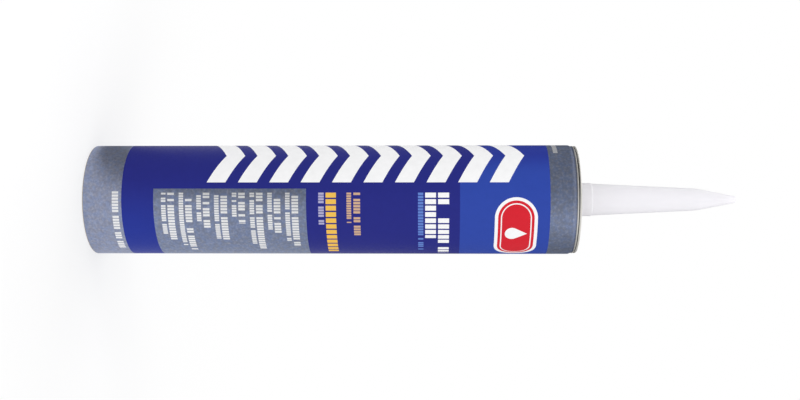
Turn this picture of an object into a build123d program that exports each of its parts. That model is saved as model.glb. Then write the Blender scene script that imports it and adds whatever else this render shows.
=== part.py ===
from build123d import *
from math import copysign, radians, tan
import os

# Construction adhesive cartridge, in millimetres. The axis is Z: the open rear rim stands on Z = 0
# and the closed nozzle points up. A wound fibre tube carries a printed wrap, a tinplate end is
# crimped over its front edge, a moulded nozzle is held in that end, and a ribbed plunger slides up
# the bore behind the paste.

# Wound fibre tube
tube_bore = 46.8
tube_wall = 1.1
tube_length = 217.3
neck_in = 0.5
neck_run = 1.2
neck_land = 0.5
neck_bend = 1.5
edge_round = 0.4

# Printed wrap, glued round the tube
label_thickness = 0.1
label_setback = 0.3
glue_line = 0.02

# Tinplate end
sheet = 0.25
seat_gap = 0.02
lip_length = 1.9
recess_depth = 6.2
sink_width = 3.2
sink_round = 0.9
panel_rise = 2.0
panel_bead_width = 3.0
panel_bead_height = 0.6
emboss_round = 0.4
collar_height = 2.0

# Moulded nozzle
nozzle_reach = 72.4
nozzle_wall = 1.3
flange_diameter = 22.0
flange_thickness = 1.5
flange_gap = 0.3
collar_diameter = 15.0
collar_reach = 6.8
step_depth = 0.3
step_run = 0.5
shoulder_diameter = 9.9
shoulder_setback = 18.1
shoulder_round = 25.0
tip_diameter = 2.8
tip_round = 1.5
tip_solid = 4.0
snap_bead_height = 0.4
snap_bead_run = 0.9
shank_gap = 0.05
moulded_round = 0.3

# Foil membrane under the nozzle's flange
seal_diameter = 19.0
seal_thickness = 0.1

# Plunger
plunger_setback = 24.7
plunger_length = 15.0
plunger_fit = 0.05
lip_depth = 0.7
lip_width = 1.6
lip_inset = 1.2
skirt_wall = 1.4
disc_thickness = 1.8
nose_bevel = 1.5
rib_count = 8
rib_thickness = 1.3
rib_setback = 2.5
hub_diameter = 15.0

# Paste
paste_gap = 0.05

# Part of a run between two corners that their roundings may take up
rounded_share = 0.95


def fitted_rounding(before, corner, after):
    """A corner's rounding, limited to its share of the two runs that meet there."""
    rounding = corner[2]
    if not rounding:
        return 0
    runs = [Vector(corner[:2]) - Vector(before[:2]), Vector(after[:2]) - Vector(corner[:2])]
    half_turn = radians(runs[0].get_angle(runs[1]) / 2)
    shares = [rounding / (rounding + neighbour[2]) for neighbour in (before, after)]
    room = min(run.length * share for run, share in zip(runs, shares))
    return min(rounding, rounded_share * room / tan(half_turn))


def turned(corners):
    """A solid turned about Z from the closed outline of its (radius, height, rounding) corners."""
    neighbours = zip(corners[-1:] + corners[:-1], corners, corners[1:] + corners[:1])
    roundings = [fitted_rounding(before, corner, after) for before, corner, after in neighbours]
    points = [(radius, height) for radius, height, rounding in corners]
    outline = FilletPolyline(*points, radius=roundings, close=True)
    return revolve(Plane.XZ * make_face(outline), axis=Axis.Z)


def necked_wall(inner, outer, start, end, end_round=0):
    """Corners of a barrel wall whose front end is drawn in by the crimp."""
    return [
        (inner, start, 0),
        (outer, start, 0),
        (outer, neck_start, neck_bend),
        (outer - neck_in, neck_end, neck_bend),
        (outer - neck_in, end, end_round),
        (inner - neck_in, end, end_round),
        (inner - neck_in, neck_end, neck_bend),
        (inner, neck_start, neck_bend),
    ]


def bent_sheet(corners, thickness):
    """Corners of a bent sheet, from those of its underside. The sheet lies to the right of that line."""
    points = [Vector(radius, height) for radius, height, rounding in corners]
    sides = [(b - a).normalized().rotate(Axis.Z, -90) for a, b in zip(points, points[1:])]
    upper = []
    for corner, point, before, after in zip(corners, points, sides[:1] + sides, sides + sides[-1:]):
        shifted = point + (before + after) * (thickness / (1 + before.dot(after)))
        turn = copysign(thickness, before.cross(after).Z)
        rounding = corner[2] + turn if corner[2] else 0
        upper.append((shifted.X, shifted.Y, rounding))
    return corners + upper[::-1]


# Radii and heights that more than one piece shares
bore_radius = tube_bore / 2
tube_radius = bore_radius + tube_wall
rim_top = tube_length + seat_gap + sheet
lip_end = rim_top - lip_length
neck_end = lip_end - neck_land
neck_start = neck_end - neck_run
sink_under = rim_top - recess_depth - sheet
panel_under = sink_under + panel_rise
seat_under = panel_under + flange_thickness
collar_top = seat_under + collar_height
shank_radius = collar_diameter / 2
hole_radius = shank_radius + shank_gap
chuck_radius = bore_radius - neck_in - seat_gap
sink_inner = chuck_radius - sink_width
seat_radius = flange_diameter / 2 + flange_gap
plunger_front = plunger_setback + plunger_length


def make_tube():
    """Fibre tube, cut square at the rear and drawn in under the crimped rim at the front."""
    return turned(necked_wall(bore_radius, tube_radius, 0, tube_length, edge_round))


def make_label():
    """Paper wrap from just above the rear rim up to the lip of the tinplate end."""
    inner = tube_radius + glue_line
    return turned(necked_wall(inner, inner + label_thickness, label_setback, lip_end - seat_gap))


def make_front_end():
    """Drawn sheet: lip, rim over the tube's edge, chuck wall, countersink, beaded panel, collar."""
    lip_radius = tube_radius - neck_in + seat_gap
    rim_round = edge_round + seat_gap
    bead_middle = (sink_inner + seat_radius) / 2
    bead_foot = panel_bead_width / 2
    bead_crest = bead_foot - panel_bead_height
    bead_under = panel_under + panel_bead_height
    corners = [
        (lip_radius, lip_end, 0),
        (lip_radius, tube_length + seat_gap, rim_round),
        (chuck_radius, tube_length + seat_gap, rim_round),
        (chuck_radius, sink_under, sink_round),
        (sink_inner, sink_under, sink_round),
        (sink_inner, panel_under, emboss_round),
        (bead_middle + bead_foot, panel_under, emboss_round),
        (bead_middle + bead_crest, bead_under, emboss_round),
        (bead_middle - bead_crest, bead_under, emboss_round),
        (bead_middle - bead_foot, panel_under, emboss_round),
        (seat_radius, panel_under, emboss_round),
        (seat_radius, seat_under, emboss_round),
        (hole_radius, seat_under, emboss_round),
        (hole_radius, collar_top, 0),
    ]
    return turned(bent_sheet(corners, sheet))


def make_nozzle():
    """Hollow nozzle: flange under the panel, snap bead over the collar, long taper, closed tip."""
    bead_start = collar_top + shank_gap
    bead_radius = hole_radius + snap_bead_height
    step_end = rim_top + collar_reach
    taper_radius = shank_radius - step_depth
    tip_top = rim_top + nozzle_reach
    shoulder = tip_top - shoulder_setback
    bore_base = shank_radius - nozzle_wall
    bore_shoulder = shoulder_diameter / 2 - nozzle_wall
    bore_end = tip_top - tip_solid
    cone_slope = (shoulder_diameter - tip_diameter) / 2 / shoulder_setback
    bore_tip = bore_shoulder - cone_slope * (shoulder_setback - tip_solid)
    return turned(
        [
            (bore_base, panel_under, 0),
            (flange_diameter / 2, panel_under, moulded_round),
            (flange_diameter / 2, seat_under, moulded_round),
            (shank_radius, seat_under, emboss_round),
            (shank_radius, bead_start, 0),
            (bead_radius, bead_start, 0),
            (bead_radius, bead_start + snap_bead_run / 2, moulded_round),
            (shank_radius, bead_start + snap_bead_run, moulded_round),
            (shank_radius, step_end, moulded_round),
            (taper_radius, step_end + step_run, moulded_round),
            (shoulder_diameter / 2, shoulder, shoulder_round),
            (tip_diameter / 2, tip_top, tip_round),
            (0, tip_top, 0),
            (0, bore_end, 0),
            (bore_tip, bore_end, moulded_round),
            (bore_shoulder, shoulder, shoulder_round),
        ]
    )


def make_inner_seal():
    """Foil disc on the underside of the nozzle's flange."""
    disc = Cylinder(seal_diameter / 2, seal_thickness, align=(Align.CENTER, Align.CENTER, Align.MAX))
    return Pos(0, 0, panel_under) * disc


def make_plunger():
    """Moulded cup, open to the rear, with two wiper lips, radial ribs and a hub ring."""
    lip_radius = bore_radius - plunger_fit
    waist = lip_radius - lip_depth
    skirt_inner = waist - skirt_wall
    disc_under = plunger_front - disc_thickness
    corners = [
        (0, plunger_front, 0),
        (waist - nose_bevel, plunger_front, moulded_round),
        (waist, plunger_front - nose_bevel, moulded_round),
    ]
    front_lip = plunger_front - nose_bevel - lip_inset
    rear_lip = plunger_setback + lip_inset + lip_width
    for lip in (front_lip, rear_lip):
        corners += [
            (waist, lip, moulded_round),
            (lip_radius, lip - lip_depth, moulded_round),
            (lip_radius, lip - lip_width, moulded_round),
            (waist, lip - lip_width, moulded_round),
        ]
    corners += [
        (waist, plunger_setback, moulded_round),
        (skirt_inner, plunger_setback, moulded_round),
        (skirt_inner, disc_under, moulded_round),
        (0, disc_under, 0),
    ]
    cup = turned(corners)

    hub_radius = hub_diameter / 2
    rib_rear = plunger_setback + rib_setback
    rib_top = disc_under + disc_thickness / 2
    hub = turned(
        [
            (hub_radius - rib_thickness, rib_rear, 0),
            (hub_radius, rib_rear, 0),
            (hub_radius, rib_top, 0),
            (hub_radius - rib_thickness, rib_top, 0),
        ]
    )
    rib_start = hub_radius - rib_thickness / 2
    rib_length = skirt_inner + skirt_wall / 2 - rib_start
    rib = Pos(rib_start, 0, rib_rear) * Box(
        rib_length,
        rib_thickness,
        rib_top - rib_rear,
        align=(Align.MIN, Align.CENTER, Align.MIN),
    )
    ribs = [Rot(Z=360 / rib_count * i) * rib for i in range(rib_count)]
    return cup + hub + ribs


def make_adhesive():
    """Paste from the plunger's nose to the underside of the tinplate end and the foil."""
    paste_radius = bore_radius - paste_gap
    crown_radius = sink_inner - paste_gap
    rear = plunger_front + paste_gap
    shelf = sink_under - paste_gap
    crown = panel_under - seal_thickness - paste_gap
    return turned(
        [
            (0, rear, 0),
            (paste_radius, rear, 0),
            (paste_radius, shelf, 0),
            (crown_radius, shelf, 0),
            (crown_radius, crown, emboss_round),
            (0, crown, 0),
        ]
    )


os.makedirs("parts", exist_ok=True)
pieces = {
    "tube": make_tube(),
    "label": make_label(),
    "front_end": make_front_end(),
    "nozzle": make_nozzle(),
    "inner_seal": make_inner_seal(),
    "plunger": make_plunger(),
    "adhesive": make_adhesive(),
}
for name, solid in pieces.items():
    export_step(solid, f"parts/{name}.step")
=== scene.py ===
from math import asin, pi, radians, sin, tan

import bmesh
import bpy
from mathutils import Matrix, Vector


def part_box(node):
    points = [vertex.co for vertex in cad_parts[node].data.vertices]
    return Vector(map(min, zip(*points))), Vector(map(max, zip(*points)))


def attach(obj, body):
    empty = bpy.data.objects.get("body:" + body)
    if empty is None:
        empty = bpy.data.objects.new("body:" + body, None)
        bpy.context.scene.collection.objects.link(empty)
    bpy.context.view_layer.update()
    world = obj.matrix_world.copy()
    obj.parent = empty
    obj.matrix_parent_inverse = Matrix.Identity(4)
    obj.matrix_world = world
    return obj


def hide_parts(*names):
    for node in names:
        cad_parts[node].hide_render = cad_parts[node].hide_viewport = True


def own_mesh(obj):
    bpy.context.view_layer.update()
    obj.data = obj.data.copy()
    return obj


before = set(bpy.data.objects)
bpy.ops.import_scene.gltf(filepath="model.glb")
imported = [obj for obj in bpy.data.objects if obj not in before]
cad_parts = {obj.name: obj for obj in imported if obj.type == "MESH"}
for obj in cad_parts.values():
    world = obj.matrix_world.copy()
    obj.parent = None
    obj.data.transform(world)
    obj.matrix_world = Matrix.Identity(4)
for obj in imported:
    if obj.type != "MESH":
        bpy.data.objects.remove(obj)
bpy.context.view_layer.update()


# Fibre tube
# The barrel is wound from plies of grey board, glued in a spiral, with a foil liner inside.
# It is cut square at the rear, where the plies show, and its front edge is drawn in by the crimp.


class Recipe:
    """Short ways to write nodes into one tree, a material's or a group's."""

    def __init__(self, tree):
        self.tree = tree
        tree.nodes.clear()

    def add(self, kind, *values, **settings):
        """A new node with its settings made and its first inputs fed in order."""
        node = self.tree.nodes.new(kind)
        for name, value in settings.items():
            setattr(node, name, value)
        for socket, value in zip(node.inputs, values):
            self.feed(socket, value)
        return node

    def feed(self, socket, value):
        """Gives an input a plain value or another node's output."""
        if isinstance(value, bpy.types.NodeSocket):
            self.tree.links.new(value, socket)
        else:
            socket.default_value = value

    def fill(self, node, values):
        """Feeds a node's inputs by name, and returns its outputs."""
        for name, value in values.items():
            self.feed(node.inputs[name], value)
        return node.outputs

    def math(self, operation, *values):
        """The result of one step of arithmetic."""
        return self.add("ShaderNodeMath", *values, operation=operation).outputs[0]

    def between(self, value, low, high):
        """1 where a value lies between two limits, and 0 elsewhere."""
        return self.math("COMPARE", value, (low + high) / 2, (high - low) / 2)

    def ramp(self, value, start, end, first=0.0, last=1.0):
        """Goes smoothly from first to last as a value goes from start to end."""
        node = self.add("ShaderNodeMapRange", value, start, end, first, last)
        node.interpolation_type = "SMOOTHSTEP"
        return node.outputs[0]

    def mix(self, share, first, second):
        """A colour that goes from first to second as share goes from 0 to 1."""
        node = self.add("ShaderNodeMix", data_type="RGBA")
        for place, value in zip((0, 6, 7), (share, first, second)):
            self.feed(node.inputs[place], value)
        return node.outputs[2]

    def noise(self, place, grain, detail=2.0):
        """Noise from 0 to 1 whose lumps are about one grain across."""
        node = self.add("ShaderNodeTexNoise")
        return self.fill(node, {"Vector": place, "Scale": 1 / grain, "Detail": detail})[0]

    def vary(self, noise, low, high):
        """A value that goes from low to high over the span in which most of a noise lies."""
        return self.ramp(noise, 0.3, 0.7, low, high)

    def bump(self, height, depth):
        """A normal for a surface that rises by depth where height goes from 0 to 1."""
        node = self.add("ShaderNodeBump")
        return self.fill(node, {"Height": height, "Distance": depth})[0]

    def group(self, tree, **values):
        """The outputs of a node group placed with its own values."""
        return self.fill(self.add("ShaderNodeGroup", node_tree=tree), values)


def new_group(name, inputs, outputs):
    """An empty node group with its sockets made: its recipe, its inputs and its output node."""
    tree = bpy.data.node_groups.new(name, "ShaderNodeTree")
    recipe = Recipe(tree)
    for side, sockets in (("INPUT", inputs), ("OUTPUT", outputs)):
        for socket, kind in sockets.items():
            tree.interface.new_socket(socket, in_out=side, socket_type="NodeSocket" + kind)
    return recipe, recipe.add("NodeGroupInput").outputs, recipe.add("NodeGroupOutput")


def new_material(name):
    """A material and its empty recipe."""
    material = bpy.data.materials.new(name)
    material.use_nodes = True
    return material, Recipe(material.node_tree)


def new_finish(name, plain):
    """A material: its recipe and its shader, with the plain values set on the shader."""
    material, recipe = new_material(name)
    shader = recipe.add("ShaderNodeBsdfPrincipled")
    recipe.fill(shader, plain)
    recipe.add("ShaderNodeOutputMaterial", shader.outputs[0])
    return material, recipe, shader


def ink(*screen):
    """A colour given by its screen values, from 0 to 255, as the shader's linear values."""
    linear = []
    for value in screen:
        share = value / 255
        linear.append(share / 12.92 if share <= 0.04045 else ((share + 0.055) / 1.055) ** 2.4)
    return (*linear, 1.0)


def make_axis_group():
    """Where a point lies round the axis: its radius, its angle from the front line and its height."""
    recipe, _, output = new_group(
        "round_the_axis",
        {},
        {"Place": "Vector", "Radius": "Float", "Angle": "Float", "Height": "Float"},
    )
    place = recipe.add("ShaderNodeTexCoord").outputs["Object"]
    x, y, z = recipe.add("ShaderNodeSeparateXYZ", place).outputs
    squares = recipe.math("MULTIPLY_ADD", x, x, recipe.math("MULTIPLY", y, y))
    leftward = recipe.math("MULTIPLY", x, -1.0)
    forward = recipe.math("MULTIPLY", y, -1.0)
    recipe.fill(
        output,
        {
            "Place": place,
            "Radius": recipe.math("SQRT", squares),
            "Angle": recipe.math("ARCTAN2", leftward, forward),
            "Height": z,
        },
    )
    return recipe.tree


def make_mottle_group():
    """A colour that wanders a little from lump to lump, as no real sheet or moulding is quite even."""
    recipe, given, output = new_group(
        "mottle",
        {"Color": "Color", "Grain": "Float", "Spread": "Float"},
        {"Color": "Color", "Lumps": "Float"},
    )
    place = recipe.add("ShaderNodeTexCoord").outputs["Object"]
    noise = recipe.add("ShaderNodeTexNoise")
    scale = recipe.math("DIVIDE", 1.0, given["Grain"])
    lumps = recipe.fill(noise, {"Vector": place, "Scale": scale, "Detail": 3.0})[0]
    swing = recipe.math("SUBTRACT", recipe.math("MULTIPLY", lumps, 2.0), 1.0)
    level = recipe.math("MULTIPLY_ADD", swing, given["Spread"], 1.0)
    scaled = recipe.add("ShaderNodeVectorMath", operation="SCALE")
    recipe.fill(scaled, {"Vector": given["Color"], "Scale": level})
    recipe.fill(output, {"Color": scaled.outputs[0], "Lumps": lumps})
    return recipe.tree


axis_group = make_axis_group()
mottle_group = make_mottle_group()

bore_radius = 0.0234
ply_thickness = 0.00027
ply_glue_share = 0.22
fibre_grain = 0.0006
fibre_spread = 0.16
fibre_depth = 0.00006
fibre_roughness = 0.86
liner_depth = 0.00003
liner_lap_pitch = 0.092
liner_lap_width = 0.0016
liner_crease = 0.004
liner_roughness = 0.32
liner_shine = 0.55

board_grey = ink(190, 180, 163)
board_glue = ink(138, 124, 104)
liner_foil = ink(196, 197, 200)
liner_seam = ink(142, 143, 147)


def make_fibre():
    """Board plies on the cut edge, and the foil liner with its spiral lap on the inside."""
    material, recipe, shader = new_finish("wound_fibre", {"Specular IOR Level": 0.3})
    axis = recipe.group(axis_group)
    lined = recipe.math("LESS_THAN", axis["Radius"], bore_radius + liner_depth)

    mottled = recipe.group(mottle_group, Color=board_grey, Grain=fibre_grain, Spread=fibre_spread)
    plies = recipe.math("FRACT", recipe.math("DIVIDE", axis["Radius"], ply_thickness))
    glue = recipe.math("LESS_THAN", plies, ply_glue_share)
    board = recipe.mix(glue, mottled["Color"], board_glue)

    turns = recipe.math("DIVIDE", axis["Angle"], 2 * pi)
    winding = recipe.math("ADD", recipe.math("DIVIDE", axis["Height"], liner_lap_pitch), turns)
    lap = recipe.math("LESS_THAN", recipe.math("FRACT", winding), liner_lap_width / liner_lap_pitch)
    foil = recipe.mix(lap, liner_foil, liner_seam)
    creases = recipe.noise(axis["Place"], liner_crease, detail=4.0)

    height = recipe.math("ADD", recipe.math("MULTIPLY", creases, lined), mottled["Lumps"])
    recipe.fill(
        shader,
        {
            "Base Color": recipe.mix(lined, board, foil),
            "Metallic": recipe.math("MULTIPLY", lined, liner_shine),
            "Roughness": recipe.math(
                "MULTIPLY_ADD", lined, liner_roughness - fibre_roughness, fibre_roughness
            ),
            "Normal": recipe.bump(height, fibre_depth),
        },
    )
    return material


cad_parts["tube"].material_slots[0].material = make_fibre()


# Printed wrap
# A strip of coated paper, printed flat and glued round the tube, with its end lapped over its start
# at the back. It follows the tube into the neck, and its print runs up to the lip of the end.
wrap_low, wrap_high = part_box("label")
wrap_radius = wrap_high.x
wrap_thickness = 0.0001
wrap_glue = 0.00002
wrap_lap = 0.008
lap_ramp = 0.0012
lap_edge = radians(166)
cut_width = 0.00015
neck_in = 0.0005
neck_land = 0.00048
neck_run = 0.0012
neck_bend = 0.0015
wrap_columns = 216
wrap_rows = 48
map_margin = 0.005
map_back_strip = 0.03
sharp_angle = radians(40)


def rounded(corners, steps=5):
    """Points of an open outline from its (radius, height, rounding) corners."""
    points = []
    for before, corner, after in zip(corners[:1] + corners, corners, corners[1:] + corners[-1:]):
        here = Vector(corner[:2])
        rounding = corner[2]
        if not rounding:
            points.append(here)
            continue
        back = (Vector(before[:2]) - here).normalized()
        ahead = (Vector(after[:2]) - here).normalized()
        half = back.angle(ahead) / 2
        centre = here + (back + ahead).normalized() * rounding / sin(half)
        start = here + back * rounding / tan(half) - centre
        end = here + ahead * rounding / tan(half) - centre
        for step in range(steps + 1):
            points.append(centre + start.lerp(end, step / steps).normalized() * rounding)
    return points


def ease(share):
    """A smooth rise from 0 to 1."""
    return share * share * (3 - 2 * share)


def new_piece(name, mesh):
    """An object in the scene, made from a finished mesh."""
    data = bpy.data.meshes.new(name)
    mesh.to_mesh(data)
    mesh.free()
    piece = bpy.data.objects.new(name, data)
    bpy.context.scene.collection.objects.link(piece)
    return piece


def wrap_outline():
    """The wrap's outer face from the rear edge, along the barrel and into the neck."""
    neck_end = wrap_high.z - neck_land
    neck_start = neck_end - neck_run
    bends = rounded(
        [
            (wrap_radius, wrap_low.z, 0),
            (wrap_radius, neck_start, neck_bend),
            (wrap_radius - neck_in, neck_end, neck_bend),
            (wrap_radius - neck_in, wrap_high.z, 0),
        ]
    )
    rear, front = bends[0], bends[1]
    return [rear.lerp(front, row / wrap_rows) for row in range(wrap_rows)] + bends[1:]


def make_wrap():
    """The lapped sheet, with a map that lays its printed face out flat."""
    turn = 2 * pi
    lap_angle = wrap_lap / wrap_radius
    ramp_angle = lap_ramp / wrap_radius
    outline = wrap_outline()
    mesh = bmesh.new()
    layers = {"face": [], "back": []}
    for column in range(wrap_columns + 1):
        angle = (turn + lap_angle) * column / wrap_columns
        over = min(max((angle - turn + ramp_angle) / ramp_angle, 0), 1)
        lift = ease(over) * (wrap_thickness + wrap_glue)
        direction = Matrix.Rotation(-(lap_edge - lap_angle + angle), 3, "Z") @ Vector((0, -1, 0))
        for layer, depth in (("face", 0), ("back", wrap_thickness)):
            ring = [direction * (point.x + lift - depth) + Vector((0, 0, point.y)) for point in outline]
            layers[layer].append([mesh.verts.new(place) for place in ring])

    flat = mesh.loops.layers.uv.new("OFBake")
    face, back = layers["face"], layers["back"]
    last = len(outline) - 1

    def lay(corners, places):
        """One quad of the sheet, with the places of its corners on the map."""
        quad = mesh.faces.new(corners)
        quad.smooth = True
        for loop, place in zip(quad.loops, places):
            loop[flat].uv = place

    print_bottom = 2 * map_back_strip
    print_width = 1 - 2 * map_margin
    print_height = 1 - print_bottom - map_margin
    face_steps = [(0, 0), (1, 0), (1, 1), (0, 1)]
    back_steps = face_steps[::-1]
    edge_steps = [(0, 0), (0, 1), (1, 1), (1, 0)]
    for column in range(wrap_columns):
        sides = [map_margin + print_width * (column + step) / wrap_columns for step in (0, 1)]
        for row in range(last):
            heights = [outline[row + step].y / wrap_high.z for step in (0, 1)]
            rows = [print_bottom + print_height * height for height in heights]
            strip = [map_margin + (map_back_strip - map_margin) * height for height in heights]
            outer = [face[column + i][row + j] for i, j in face_steps]
            lay(outer, [(sides[i], rows[j]) for i, j in face_steps])
            inner = [back[column + i][row + j] for i, j in back_steps]
            lay(inner, [(sides[i], strip[j]) for i, j in back_steps])
        for row in (0, last):
            rim = [face[column][row], back[column][row], back[column + 1][row], face[column + 1][row]]
            lay(rim, [(sides[i], map_back_strip + map_margin * j) for i, j in edge_steps])
    for row in range(last):
        for column in (0, wrap_columns):
            edge = [face[column][row], face[column][row + 1], back[column][row + 1], back[column][row]]
            lay(edge, [(map_margin * i, map_back_strip + map_margin * j) for i, j in edge_steps])

    bmesh.ops.recalc_face_normals(mesh, faces=mesh.faces)
    piece = new_piece("printed_wrap", mesh)
    piece.data.set_sharp_from_angle(angle=sharp_angle)
    return piece


# Where the print lies: heights up the barrel, and distances round it from the front line. The tints in
# the blue are partly print and partly painted light and shade: the blue near the rear band is lighter on
# the key lamp's side, and the pale blue at the front is deeper on the far side. They die away towards
# the back, so that the print is even where its two ends meet.
rear_band_end = 0.01726
front_band_start = 0.20392
pale_front_start = 0.1722
deep_blue_start = 0.085
print_and_light_bottom = -0.016
print_and_light_top = 0.012
print_and_shade_bottom = 0.011
print_and_shade_top = 0.024
tint_edge = 0.048
tint_end = 0.070

panel_start = 0.0313
panel_end = 0.0981
panel_top = 0.0048
panel_bottom = -0.0450

row_start = 0.0030
row_block = 0.00135
small_block = 0.8 * row_block
note_block = 0.9 * row_block
large_block = 2.1 * row_block
block_share = 0.76
block_missing = 0.15
seed_step = 37.0
thin_row = 0.0020
thin_row_share = 0.86
bold_row = 0.0029
row_gap = 0.0008
panel_row_pitch = 0.00775
panel_row_inset = 0.0034
panel_row_lengths = (0.0228, 0.0312, 0.0164, 0.0257, 0.0138, 0.0301, 0.0196, 0.0274)

chevron_count = 10
chevron_pitch = 0.0137
chevron_share = 0.60
chevron_slope = 0.50
chevron_first = 0.0618
chevron_middle = 0.0222
chevron_half = 0.0146

badge_along = 0.1893
badge_around = -0.0160
badge_half_width = 0.0093
badge_spine = 0.0077
badge_border = 0.0014
keyline_inset = 0.0012
keyline = 0.0005
drop_radius = 0.0031
drop_reach = 0.0066
drop_along = 0.1876

cloud_grain = 0.0018
cloud_span = (0.35, 0.65)
speckle_grain = 0.0010
speckle_middle = 0.5
speckle_swing = 0.2
light_fleck = 0.12
dark_fleck = 0.17
silver_shine = 0.82
neck_shade = 0.25
paper_patch = 0.0030
paper_spread = 0.05
paper_fibre = 0.0009
paper_depth = 0.000012
paper_roughness = (0.46, 0.56)

deep_blue = ink(34, 39, 129)
rear_blue = ink(34, 52, 151)
pale_blue = ink(43, 70, 166)
silver_cool = ink(152, 163, 194)
silver_warm = ink(154, 159, 180)
# Darker copies of the silver, for painted shade past the rear band.
shaded_silver_cool = ink(133, 147, 181)
shaded_silver_warm = ink(134, 142, 164)
fleck_grey = ink(62, 64, 74)
print_white = ink(247, 247, 248)
bare_paper = ink(206, 202, 193)
# The dark of the painted shade in the neck.
neck_shade_ink = ink(58, 58, 66)
badge_red = ink(214, 30, 46)
amber = ink(240, 190, 84)
buff = ink(206, 170, 140)
sky = ink(96, 130, 205)
lilac = ink(176, 172, 205)


def make_block_row_group():
    """A row of plain blocks round the barrel, with a block left out here and there."""
    measures = ("Along", "Around", "Middle", "Half", "Start", "Length", "Block", "Seed")
    recipe, given, output = new_group(
        "block_row",
        {measure: "Float" for measure in measures},
        {"Mask": "Float"},
    )
    in_row = recipe.math("COMPARE", given["Along"], given["Middle"], given["Half"])
    run = recipe.math("SUBTRACT", given["Start"], given["Around"])
    half_length = recipe.math("DIVIDE", given["Length"], 2.0)
    in_length = recipe.math("COMPARE", run, half_length, half_length)
    count = recipe.math("DIVIDE", run, given["Block"])
    block = recipe.math("LESS_THAN", recipe.math("FRACT", count), block_share)
    draw = recipe.add("ShaderNodeTexWhiteNoise", noise_dimensions="1D")
    recipe.fill(draw, {"W": recipe.math("ADD", recipe.math("FLOOR", count), given["Seed"])})
    kept = recipe.math("GREATER_THAN", draw.outputs["Value"], block_missing)
    mask = recipe.math("MULTIPLY", in_row, in_length)
    mask = recipe.math("MULTIPLY", mask, recipe.math("MULTIPLY", block, kept))
    recipe.fill(output, {"Mask": mask})
    return recipe.tree


def draw_badge(recipe, along, around, colour):
    """A red pill round the barrel with a white border and keyline, and a plain white drop in it."""
    beside = recipe.math("SUBTRACT", around, badge_around)
    past_spine = recipe.math("SUBTRACT", recipe.math("ABSOLUTE", beside), badge_spine)
    past_spine = recipe.math("MAXIMUM", past_spine, 0.0)
    square = recipe.math("MULTIPLY", past_spine, past_spine)
    up = recipe.math("SUBTRACT", along, badge_along)
    reach = recipe.math("SQRT", recipe.math("MULTIPLY_ADD", up, up, square))
    field = badge_half_width - badge_border
    keyline_edge = field - keyline_inset
    for edge, edge_ink in (
        (badge_half_width, print_white),
        (field, badge_red),
        (keyline_edge, print_white),
        (keyline_edge - keyline, badge_red),
    ):
        colour = recipe.mix(recipe.math("LESS_THAN", reach, edge), colour, edge_ink)

    rise = recipe.math("SUBTRACT", along, drop_along)
    squares = recipe.math("MULTIPLY_ADD", rise, rise, recipe.math("MULTIPLY", beside, beside))
    ball = recipe.math("LESS_THAN", recipe.math("SQRT", squares), drop_radius)
    lean = asin(drop_radius / drop_reach)
    side = recipe.math("MULTIPLY", recipe.math("SUBTRACT", drop_reach, rise), tan(lean))
    point = recipe.math(
        "MULTIPLY",
        recipe.math("GREATER_THAN", rise, drop_radius * sin(lean)),
        recipe.math("LESS_THAN", recipe.math("ABSOLUTE", beside), side),
    )
    return recipe.mix(recipe.math("MAXIMUM", ball, point), colour, print_white)


def print_rows():
    """Each row of blocks: its lower edge, its width, its start, its length, its block and its colour."""
    rows = []
    for index, length in enumerate(panel_row_lengths):
        thin = panel_start + panel_row_inset + panel_row_pitch * index
        bold = thin + thin_row + row_gap
        rows.append((thin, thin_row, row_start, length * thin_row_share, small_block, print_white))
        rows.append((bold, bold_row, row_start, length, row_block, print_white))
    rows += [
        (0.0131, 0.0028, 0.0036, 0.0300, row_block, print_white),
        (0.2062, 0.0020, 0.0370, 0.0140, small_block, print_white),
        (0.1034, 0.0024, row_start, 0.0150, note_block, lilac),
        (0.1066, 0.0045, row_start, 0.0330, large_block, amber),
        (0.1157, 0.0020, row_start, 0.0135, small_block, buff),
        (0.1187, 0.0029, row_start, 0.0200, row_block, buff),
        (0.1467, 0.0023, row_start, 0.0310, row_block, sky),
        (0.1498, 0.0047, row_start, 0.0216, large_block, print_white),
        (0.1554, 0.0048, row_start, 0.0345, large_block, print_white),
    ]
    return rows


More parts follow.
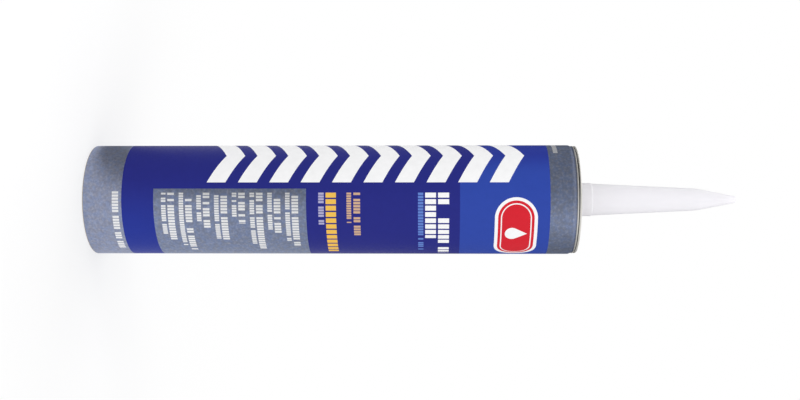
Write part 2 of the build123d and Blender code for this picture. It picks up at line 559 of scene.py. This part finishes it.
def make_print():
    """Coated paper: speckled silver ends and panel on blue, with plain blocks, chevrons and a badge."""
    material, recipe, shader = new_finish("coated_paper", {"Specular IOR Level": 0.16})
    axis = recipe.group(axis_group)
    along = axis["Height"]
    around = recipe.math("MULTIPLY", axis["Angle"], wrap_radius)

    speckle = recipe.noise(axis["Place"], speckle_grain, detail=3.0)
    cloud = recipe.noise(axis["Place"], cloud_grain)
    patches = recipe.ramp(cloud, *cloud_span)
    # Painted shade: past the rear band, on the panel and the front band, the silver is a darker copy of
    # the rear band's.
    past_rear_band = recipe.math("GREATER_THAN", along, rear_band_end)
    silver = recipe.mix(
        past_rear_band,
        recipe.mix(patches, silver_warm, silver_cool),
        recipe.mix(patches, shaded_silver_warm, shaded_silver_cool),
    )
    lights = recipe.ramp(speckle, speckle_middle, speckle_middle + speckle_swing, 0.0, light_fleck)
    darks = recipe.ramp(speckle, speckle_middle - speckle_swing, speckle_middle, dark_fleck, 0.0)
    silver = recipe.mix(lights, silver, print_white)
    silver = recipe.mix(darks, silver, fleck_grey)

    off_middle = recipe.math("ABSOLUTE", recipe.math("SUBTRACT", around, chevron_middle))
    trail = recipe.math("MULTIPLY", recipe.math("MINIMUM", off_middle, chevron_half), chevron_slope)
    front_line = recipe.math("ADD", along, trail)
    # Painted light and shade, partly print: the blue is lighter towards the key lamp's side (+X) near
    # the rear band, and deeper on the far side (-X) at the front, dying away towards the back.
    tinted = recipe.ramp(recipe.math("ABSOLUTE", around), tint_edge, tint_end, 1.0, 0.0)
    print_and_light_side = recipe.math("MULTIPLY", tinted, recipe.ramp(around, print_and_light_bottom, print_and_light_top, 1.0, 0.0))
    print_and_shade_side = recipe.math("MULTIPLY", tinted, recipe.ramp(around, print_and_shade_bottom, print_and_shade_top))
    rear_side = recipe.ramp(along, rear_band_end, deep_blue_start, 1.0, 0.0)
    blue = recipe.mix(recipe.math("MULTIPLY", print_and_light_side, rear_side), deep_blue, rear_blue)
    pale = recipe.mix(print_and_shade_side, pale_blue, rear_blue)
    blue = recipe.mix(recipe.math("GREATER_THAN", front_line, pale_front_start), blue, pale)

    in_panel = recipe.math(
        "MULTIPLY",
        recipe.between(along, panel_start, panel_end),
        recipe.between(around, panel_bottom, panel_top),
    )
    in_blue = recipe.between(along, rear_band_end, front_band_start)
    in_silver = recipe.math("MAXIMUM", in_panel, recipe.math("SUBTRACT", 1.0, in_blue))
    colour = recipe.mix(in_silver, blue, silver)

    steps = recipe.math("DIVIDE", recipe.math("SUBTRACT", front_line, chevron_first), chevron_pitch)
    in_chevrons = recipe.math(
        "MULTIPLY",
        recipe.between(steps, 0.0, chevron_count),
        recipe.math("LESS_THAN", off_middle, chevron_half),
    )
    stroke = recipe.math("LESS_THAN", recipe.math("FRACT", steps), chevron_share)
    colour = recipe.mix(recipe.math("MULTIPLY", in_chevrons, stroke), colour, print_white)

    colour = draw_badge(recipe, along, around, colour)

    row_group = make_block_row_group()
    for seed, (low, width, start, length, block, row_ink) in enumerate(print_rows()):
        mask = recipe.group(
            row_group,
            Along=along,
            Around=around,
            Middle=low + width / 2,
            Half=width / 2,
            Start=start,
            Length=length,
            Block=block,
            Seed=seed_step * seed,
        )
        colour = recipe.mix(mask["Mask"], colour, row_ink)

    # Painted shade: the print is darkened where the wrap bends into the neck.
    shaded_neck = recipe.math("GREATER_THAN", along, wrap_high.z - neck_land - neck_run)
    colour = recipe.mix(recipe.math("MULTIPLY", shaded_neck, neck_shade), colour, neck_shade_ink)
    cut = recipe.between(around, wrap_radius * lap_edge - cut_width, wrap_radius * lap_edge)
    colour = recipe.mix(cut, colour, bare_paper)
    mottled = recipe.group(mottle_group, Color=colour, Grain=paper_patch, Spread=paper_spread)

    fibres = recipe.noise(axis["Place"], paper_fibre, detail=3.0)
    recipe.fill(
        shader,
        {
            "Base Color": mottled["Color"],
            "Roughness": recipe.vary(fibres, *paper_roughness),
            "Metallic": recipe.math("MULTIPLY", in_silver, silver_shine),
            "Normal": recipe.bump(fibres, paper_depth),
        },
    )
    return material


wrap = make_wrap()
wrap.data.materials.append(make_print())
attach(wrap, "cartridge")
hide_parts("label")


# Tinplate end
# One disc of tinned steel, drawn into a chuck wall, a countersink and a beaded panel. Its rim is
# rolled over the tube's front edge by a seaming roller, which leaves a groove in the lip. Its collar
# grips the nozzle.
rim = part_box("front_end")[1]
tin_thickness = 0.00025
groove_drop = 0.00110
groove_height = rim.z - groove_drop
groove_half = 0.0006
groove_depth = 0.0002
groove_cuts = 12
rolled_width = 0.0015
rolled_haze = 0.30
draw_line = 0.00022
draw_depth = 0.000008
draw_span = (0.35, 0.7)
draw_strength = 0.5
soil_and_shade_half = 0.0003
tin_patch = 0.006
tin_spread = 0.07
tin_roughness = (0.20, 0.32)

tin_bright = ink(226, 224, 219)
tin_dull = ink(196, 194, 190)
# The groove's dark line: partly soil, partly painted shade.
soil_and_shade_grey = ink(84, 83, 82)


def make_end():
    """The drawn end, with the roller's groove pressed into the outside of its lip."""
    mesh = bmesh.new()
    mesh.from_mesh(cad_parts["front_end"].data)
    tin_middle = rim.x - tin_thickness / 2
    parts = [*mesh.edges, *mesh.faces]
    lip = [part for part in parts if all(vert.co.xy.length > tin_middle for vert in part.verts)]
    for cut in range(groove_cuts + 1):
        height = groove_height + groove_half * (2 * cut / groove_cuts - 1)
        halves = bmesh.ops.bisect_plane(mesh, geom=lip, plane_co=(0, 0, height), plane_no=(0, 0, 1))
        lip = halves["geom"]
    for vert in mesh.verts:
        radius = vert.co.xy.length
        if radius > tin_middle:
            near = max(1 - abs(vert.co.z - groove_height) / groove_half, 0)
            vert.co.xy *= 1 - groove_depth * ease(near) / radius
    return new_piece("rolled_end", mesh)


def make_tinplate():
    """Bright tin with the drawing die's fine rings, hazed on the rim, and soil and painted shade in the
    groove.
    """
    material, recipe, shader = new_finish("drawn_tinplate", {"Metallic": 1.0})
    axis = recipe.group(axis_group)
    rings = recipe.add("ShaderNodeTexNoise", noise_dimensions="1D")
    along_sheet = recipe.math("ADD", axis["Radius"], axis["Height"])
    lines = recipe.fill(rings, {"W": along_sheet, "Scale": 1 / draw_line, "Detail": 2.0})[0]
    mottled = recipe.group(mottle_group, Color=tin_bright, Grain=tin_patch, Spread=tin_spread)
    tin = recipe.mix(recipe.ramp(lines, *draw_span, 0.0, draw_strength), mottled["Color"], tin_dull)
    wiped = recipe.vary(mottled["Lumps"], *tin_roughness)

    rolled = recipe.math("GREATER_THAN", axis["Radius"], rim.x - rolled_width)
    outside = recipe.math("GREATER_THAN", axis["Radius"], rim.x - tin_thickness)
    # Partly soil, partly painted shade: a dark grey line round the outside of the lip, along the groove.
    from_groove = recipe.math("ABSOLUTE", recipe.math("SUBTRACT", axis["Height"], groove_height))
    soil_and_shade = recipe.math("MULTIPLY", outside, recipe.ramp(from_groove, soil_and_shade_half / 2, soil_and_shade_half, 1.0, 0.0))
    recipe.fill(
        shader,
        {
            "Base Color": recipe.mix(soil_and_shade, tin, soil_and_shade_grey),
            "Roughness": recipe.math("MULTIPLY_ADD", rolled, rolled_haze, wiped),
            "Normal": recipe.bump(lines, draw_depth),
        },
    )
    return material


end = make_end()
end.data.materials.append(make_tinplate())
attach(end, "cartridge")
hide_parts("front_end")


# Nozzle
# A long hollow cone of white low density polyethylene, moulded closed at its tip so that the user
# cuts it to the bead. Its flange is held under the panel, and a snap bead sits over the collar.
nozzle_white = ink(245, 243, 251)


def mottled_finish(name, plain, colour, grain, spread, roughness, depth):
    """A material whose colour, gloss and surface all wander with the same lumps."""
    material, recipe, shader = new_finish(name, plain)
    mottled = recipe.group(mottle_group, Color=colour, Grain=grain, Spread=spread)
    recipe.fill(
        shader,
        {
            "Base Color": mottled["Color"],
            "Roughness": recipe.vary(mottled["Lumps"], *roughness),
            "Normal": recipe.bump(mottled["Lumps"], depth),
        },
    )
    return material


# Milky plastic that light goes some way into, with a soft waxy gloss
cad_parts["nozzle"].material_slots[0].material = mottled_finish(
    "milky_polyethylene",
    {
        "Subsurface Weight": 0.5,
        "Subsurface Radius": (1.0, 1.0, 1.0),
        "Subsurface Scale": 0.002,
        "Specular IOR Level": 0.2,
    },
    colour=nozzle_white,
    grain=0.004,
    spread=0.012,
    roughness=(0.34, 0.44),
    depth=0.00002,
)


# Inner seal
# A disc of aluminium foil, heat sealed to the underside of the nozzle's flange. The user pierces it
# through the cut nozzle.
seal_foil = ink(214, 214, 217)

# Soft foil with the fine wrinkles of its sealing
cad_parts["inner_seal"].material_slots[0].material = mottled_finish(
    "sealing_foil",
    {"Metallic": 1.0},
    colour=seal_foil,
    grain=0.0016,
    spread=0.06,
    roughness=(0.28, 0.42),
    depth=0.00008,
)


# Plunger
# A moulded cup of natural polyethylene with two wiper lips, stiffened by ribs and a hub ring. The
# gun's push rod bears on its rear edge and drives it up the bore.
plunger_milk = ink(228, 228, 222)

# Natural plastic, a little yellower and duller than the nozzle's
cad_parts["plunger"].material_slots[0].material = mottled_finish(
    "natural_polyethylene",
    {
        "Subsurface Weight": 0.4,
        "Subsurface Radius": (1.0, 0.95, 0.85),
        "Subsurface Scale": 0.003,
        "Specular IOR Level": 0.45,
    },
    colour=plunger_milk,
    grain=0.003,
    spread=0.03,
    roughness=(0.40, 0.52),
    depth=0.00004,
)


# Paste
# The solvent based adhesive fills the barrel from the plunger's nose to the end and its foil. In use it
# shortens as the plunger drives it out; here it is made at its full length and fixed to the cartridge.
paste_low, paste_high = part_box("adhesive")
paste_radius = paste_high.x
paste_shelf = 0.21107
paste_crown_radius = 0.01963
paste_round = 0.0004
paste_segments = 128
paste_weld = 1e-6
paste_tan = ink(198, 172, 132)


def make_paste():
    """A turned plug with a crown that fills the raised panel of the end."""
    outline = rounded(
        [
            (0, paste_low.z, 0),
            (paste_radius, paste_low.z, paste_round),
            (paste_radius, paste_shelf, paste_round),
            (paste_crown_radius, paste_shelf, paste_round),
            (paste_crown_radius, paste_high.z, paste_round),
            (0, paste_high.z, 0),
        ]
    )
    mesh = bmesh.new()
    points = [mesh.verts.new((point.x, 0, point.y)) for point in outline]
    edges = [mesh.edges.new(pair) for pair in zip(points, points[1:])]
    bmesh.ops.spin(
        mesh,
        geom=points + edges,
        axis=(0, 0, 1),
        steps=paste_segments,
        angle=2 * pi,
        use_merge=True,
    )
    bmesh.ops.remove_doubles(mesh, verts=mesh.verts, dist=paste_weld)
    bmesh.ops.recalc_face_normals(mesh, faces=mesh.faces)
    for face in mesh.faces:
        face.smooth = True
    piece = new_piece("paste", mesh)
    piece.data.set_sharp_from_angle(angle=sharp_angle)
    return piece


# Thick tan paste with a dull wet gloss and fine filler in it
paste_finish = mottled_finish(
    "tan_paste",
    {"Specular IOR Level": 0.5},
    colour=paste_tan,
    grain=0.0012,
    spread=0.09,
    roughness=(0.42, 0.60),
    depth=0.0001,
)

paste = make_paste()
paste.data.materials.append(paste_finish)
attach(paste, "cartridge")
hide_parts("adhesive")
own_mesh(paste)


# Studio
# A white table and surround, with a large soft lamp on the right of the front, one behind, and two
# faint ones in front and on the left of the nozzle. Dark walls and a card show in the gloss alone.
studio_segments = 96
table_radius = 3.0
table_grey = (0.85, 0.85, 0.85, 1.0)
full_white = (1.0, 1.0, 1.0, 1.0)
surround_level = 0.78
horizon_radius = 1.6
horizon_heights = (0.12, 1.00)
card_gap = 0.03
card_back = 0.05
card_width = 1.0
card_lift = 0.0002
gloss_level = 0.06
shadow_start = 0.03
shadow_end = 0.40
shadow_depth = 0.45


def seen(recipe):
    """1 for rays that show the surround: to the camera, off gloss or through clear things."""
    path = recipe.add("ShaderNodeLightPath").outputs
    gloss = recipe.math("MAXIMUM", path["Is Glossy Ray"], path["Is Transmission Ray"])
    return recipe.math("MAXIMUM", path["Is Camera Ray"], gloss)


def make_table():
    """A round white table that keeps the shadow. It is clear from below and under the bore."""
    mesh = bmesh.new()
    bmesh.ops.create_circle(mesh, cap_ends=True, segments=studio_segments, radius=table_radius)
    table = new_piece("table", mesh)

    material, recipe = new_material("table_white")
    axis = recipe.group(axis_group)
    matt = recipe.add("ShaderNodeBsdfDiffuse", table_grey).outputs[0]
    lit = recipe.add("ShaderNodeBsdfDiffuse", full_white).outputs[0]
    white = recipe.add("ShaderNodeEmission", full_white, 1.0).outputs[0]
    clear = recipe.add("ShaderNodeBsdfTransparent").outputs[0]
    shadow = recipe.ramp(axis["Radius"], shadow_start, shadow_end, shadow_depth, 0.0)
    shown = recipe.add("ShaderNodeMixShader", shadow, white, lit).outputs[0]
    sides = recipe.add("ShaderNodeMixShader", seen(recipe), matt, shown).outputs[0]
    below = recipe.add("ShaderNodeNewGeometry").outputs["Backfacing"]
    hole = recipe.math("LESS_THAN", axis["Radius"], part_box("tube")[1].x)
    open_parts = recipe.math("MAXIMUM", below, hole)
    surface = recipe.add("ShaderNodeMixShader", open_parts, sides, clear).outputs[0]
    recipe.add("ShaderNodeOutputMaterial", surface)
    table.data.materials.append(material)
    return table


def make_surround():
    """A world that shows white, and lights the object from all sides at a lower level."""
    world = bpy.data.worlds.new("surround")
    world.use_nodes = True
    recipe = Recipe(world.node_tree)
    strength = recipe.math("MULTIPLY_ADD", seen(recipe), 1.0 - surround_level, surround_level)
    back = recipe.add("ShaderNodeBackground", full_white, strength).outputs[0]
    recipe.add("ShaderNodeOutputWorld", back)
    return world


def make_lamp(name, place, target, width, power, in_gloss=True):
    """A square soft lamp that faces its target. It shows in gloss or not at all."""
    light = bpy.data.lights.new(name, "AREA")
    light.size = width
    light.energy = power
    lamp = bpy.data.objects.new(name, light)
    lamp.location = place
    lamp.rotation_euler = (Vector(target) - Vector(place)).to_track_quat("-Z", "Y").to_euler()
    lamp.visible_camera = False
    lamp.visible_glossy = in_gloss
    bpy.context.scene.collection.objects.link(lamp)


def gloss_only(name, mesh):
    """A dark piece of the studio that only gloss shows, so that bright metal has something to mirror."""
    material, recipe = new_material(name)
    dark = recipe.add("ShaderNodeEmission", full_white, gloss_level).outputs[0]
    recipe.add("ShaderNodeOutputMaterial", dark)
    piece = new_piece(name, mesh)
    piece.data.materials.append(material)
    piece.visible_camera = False
    piece.visible_diffuse = False
    piece.visible_shadow = False
    return piece


def make_horizon():
    """A ring of dark wall all round the table."""
    mesh = bmesh.new()
    for height in horizon_heights:
        level = Matrix.Translation((0, 0, height))
        bmesh.ops.create_circle(mesh, segments=studio_segments, radius=horizon_radius, matrix=level)
    bmesh.ops.bridge_loops(mesh, edges=mesh.edges)
    return gloss_only("horizon", mesh)


def make_card():
    """A dark card that lies on the table, left of the barrel."""
    mesh = bmesh.new()
    place = Matrix.Translation((-card_gap - card_width / 2, card_back - card_width / 2, card_lift))
    bmesh.ops.create_grid(mesh, x_segments=1, y_segments=1, size=card_width / 2, matrix=place)
    return gloss_only("card", mesh)


make_table()
make_horizon()
make_card()
bpy.context.scene.world = make_surround()
barrel_middle = (0, 0, 0.13)
nozzle_middle = (0, 0, 0.25)
make_lamp("key", (0.62, -0.55, 0.70), barrel_middle, width=0.60, power=1.8)
make_lamp("front", (0.05, -0.90, 0.25), barrel_middle, width=0.40, power=0.60, in_gloss=False)
make_lamp("back", (-0.40, 0.60, 0.95), barrel_middle, width=0.80, power=2.0)
make_lamp("left", (-0.33, -0.20, 0.35), nozzle_middle, width=0.16, power=0.22, in_gloss=False)

# The view that was photographed: from the front, a little behind the crimped end. The camera lies on
# its side, so the barrel shows level. The size and the focal length are in pixels.
photo_size = (800, 400)
photo_focal = 1087.25
view_yaw = radians(1.618)
view_place = Vector((0.00020, -0.49510, 0.15221))

bpy.context.scene.view_settings.view_transform = "Standard"
lens = bpy.data.cameras.new("camera")
lens.sensor_width = 36.0
lens.lens = photo_focal * lens.sensor_width / photo_size[0]
camera = bpy.data.objects.new("camera", lens)
lying = Matrix(((0, -1, 0), (0, 0, -1), (1, 0, 0)))
facing = Matrix.Rotation(-view_yaw, 3, "X") @ lying
camera.matrix_world = Matrix.Translation(view_place) @ facing.to_4x4()
bpy.context.scene.collection.objects.link(camera)
bpy.context.scene.camera = camera
